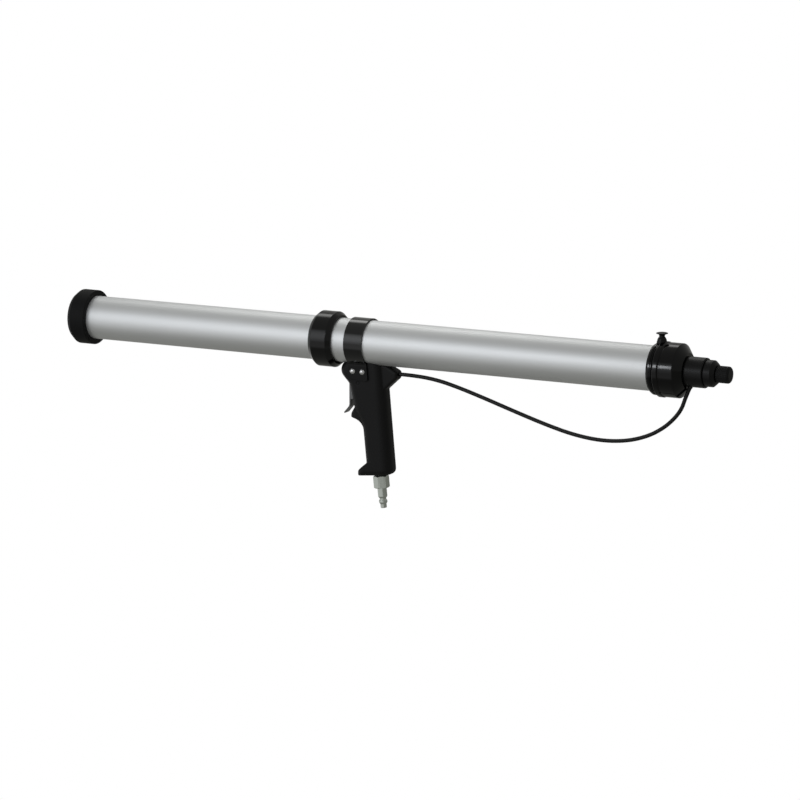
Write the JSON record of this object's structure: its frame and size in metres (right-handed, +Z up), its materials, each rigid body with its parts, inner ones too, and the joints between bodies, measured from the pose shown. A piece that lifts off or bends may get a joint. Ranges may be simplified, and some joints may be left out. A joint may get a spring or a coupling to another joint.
{
  "type": "pneumatic caulking tool",
  "caption": "Air-powered sealant applicator: cartridge barrel with nozzle cap, union ring, air cylinder with pistol handle, trigger valve, rear cap with pressure regulator and hose.",
  "frame": {"origin": "centre of the nozzle opening, in the front face of the front cap", "axes": "+X forward along the barrel, out of the nozzle; +Z up, away from the handle; +Y to the tool's left"},
  "size_m": [0.888, 0.0686, 0.2488],
  "materials": {
    "tube_aluminium": "satin anodised",
    "inner_aluminium": "turned",
    "cap_black": "matte moulded",
    "ring_black": "glossy moulded",
    "handle_black": "satin moulded",
    "strap_black": "satin painted",
    "regulator_black": "satin",
    "knob_black": "matte moulded",
    "plunger_white": "turned",
    "steel": "bright",
    "spring_steel": "drawn wire",
    "trigger_steel": "zinc plated",
    "plug_nickel": "nickel plated",
    "brass": "turned",
    "seal_rubber": "moulded",
    "washer_fibre": "matte",
    "fitting_black": "moulded",
    "hose_black": "smooth"
  },
  "bodies": {
    "frame": {"front_barrel": "tube_aluminium", "barrel_collar": "inner_aluminium", "guide_head": "inner_aluminium", "guide_head_seal": "seal_rubber", "rod_bush": "brass", "rod_wiper": "seal_rubber", "rear_cylinder": "tube_aluminium", "rear_cap": "ring_black", "rear_seal": "seal_rubber", "bleed_bush": "regulator_black", "bleed_spring": "spring_steel", "regulator_body": "regulator_black", "regulator_bonnet": "regulator_black", "regulator_spring": "spring_steel", "handle": "handle_black", "strap_band": "strap_black", "strap_bolts": "steel", "strap_nuts": "steel", "trigger_pin": "steel", "valve_body": "brass", "valve_spring": "spring_steel", "inlet_washer": "washer_fibre", "air_plug": "plug_nickel", "hose_fitting_front": "fitting_black", "hose_fitting_rear": "fitting_black", "air_hose": "hose_black"},
    "front_cap": {"front_cap": "cap_black"},
    "coupling": {"coupling_ring": "ring_black"},
    "drive": {"drive_rod": "steel", "drive_piston": "inner_aluminium", "piston_seals": "seal_rubber", "piston_nut": "steel", "plunger": "plunger_white", "plunger_wiper": "seal_rubber", "plunger_screw": "steel"},
    "trigger": {"trigger": "trigger_steel"},
    "valve_stem": {"valve_stem": "steel", "valve_seal": "seal_rubber"},
    "bleed_button": {"bleed_button": "regulator_black", "bleed_seal": "seal_rubber"},
    "regulator_knob": {"regulator_knob": "knob_black", "adjusting_screw": "steel"},
    "spring_nut": {"spring_nut": "inner_aluminium"},
    "regulator_valve": {"regulator_piston": "brass", "regulator_seal": "seal_rubber", "regulator_poppet": "brass"}
  },
  "joints": [
    {"name": "front_cap_turn", "type": "hinge", "parent": "frame", "child": "front_cap", "pos_m": [-0.013, 0, 0], "axis": [1, 0, 0], "range_deg": [0, 720]},
    {"name": "coupling_turn", "type": "hinge", "parent": "frame", "child": "coupling", "pos_m": [-0.359, 0, 0], "axis": [-1, 0, 0], "range_deg": [0, 720]},
    {"name": "piston_stroke", "type": "slide", "parent": "frame", "child": "drive", "axis": [1, 0, 0], "range_m": [0, 0.32]},
    {"name": "trigger_pull", "type": "hinge", "parent": "frame", "child": "trigger", "pos_m": [-0.4043, 0, -0.0495], "axis": [0, 1, 0], "range_deg": [0, 7], "stiffness_Nm_per_rad": 0.8, "springref_deg": -6.88},
    {"name": "valve_stem_slide", "type": "slide", "parent": "frame", "child": "valve_stem", "axis": [-1, 0, 0], "range_m": [0, 0.0022], "deforming": ["valve_spring"]},
    {"name": "bleed_press", "type": "slide", "parent": "frame", "child": "bleed_button", "axis": [0, 0, -1], "range_m": [0, 0.002], "stiffness_N_per_m": 1200, "springref_m": -0.002, "deforming": ["bleed_spring"]},
    {"name": "regulator_turn", "type": "hinge", "parent": "frame", "child": "regulator_knob", "pos_m": [-0.8795, 0, 0], "axis": [1, 0, 0], "range_deg": [0, 1080]},
    {"name": "spring_nut_slide", "type": "slide", "parent": "frame", "child": "spring_nut", "axis": [1, 0, 0], "range_m": [0, 0.003], "deforming": ["regulator_spring"]},
    {"name": "regulator_valve_lift", "type": "slide", "parent": "frame", "child": "regulator_valve", "axis": [1, 0, 0], "range_m": [0, 0.0008]}
  ],
  "couplings": [
    {"joint": "valve_stem_slide", "follows": "trigger_pull", "m_per_rad": 0.0165},
    {"joint": "spring_nut_slide", "follows": "regulator_turn", "m_per_rad": 0.00015915},
    {"joint": "regulator_valve_lift", "follows": "regulator_turn", "m_per_rad": 0.000042}
  ]
}
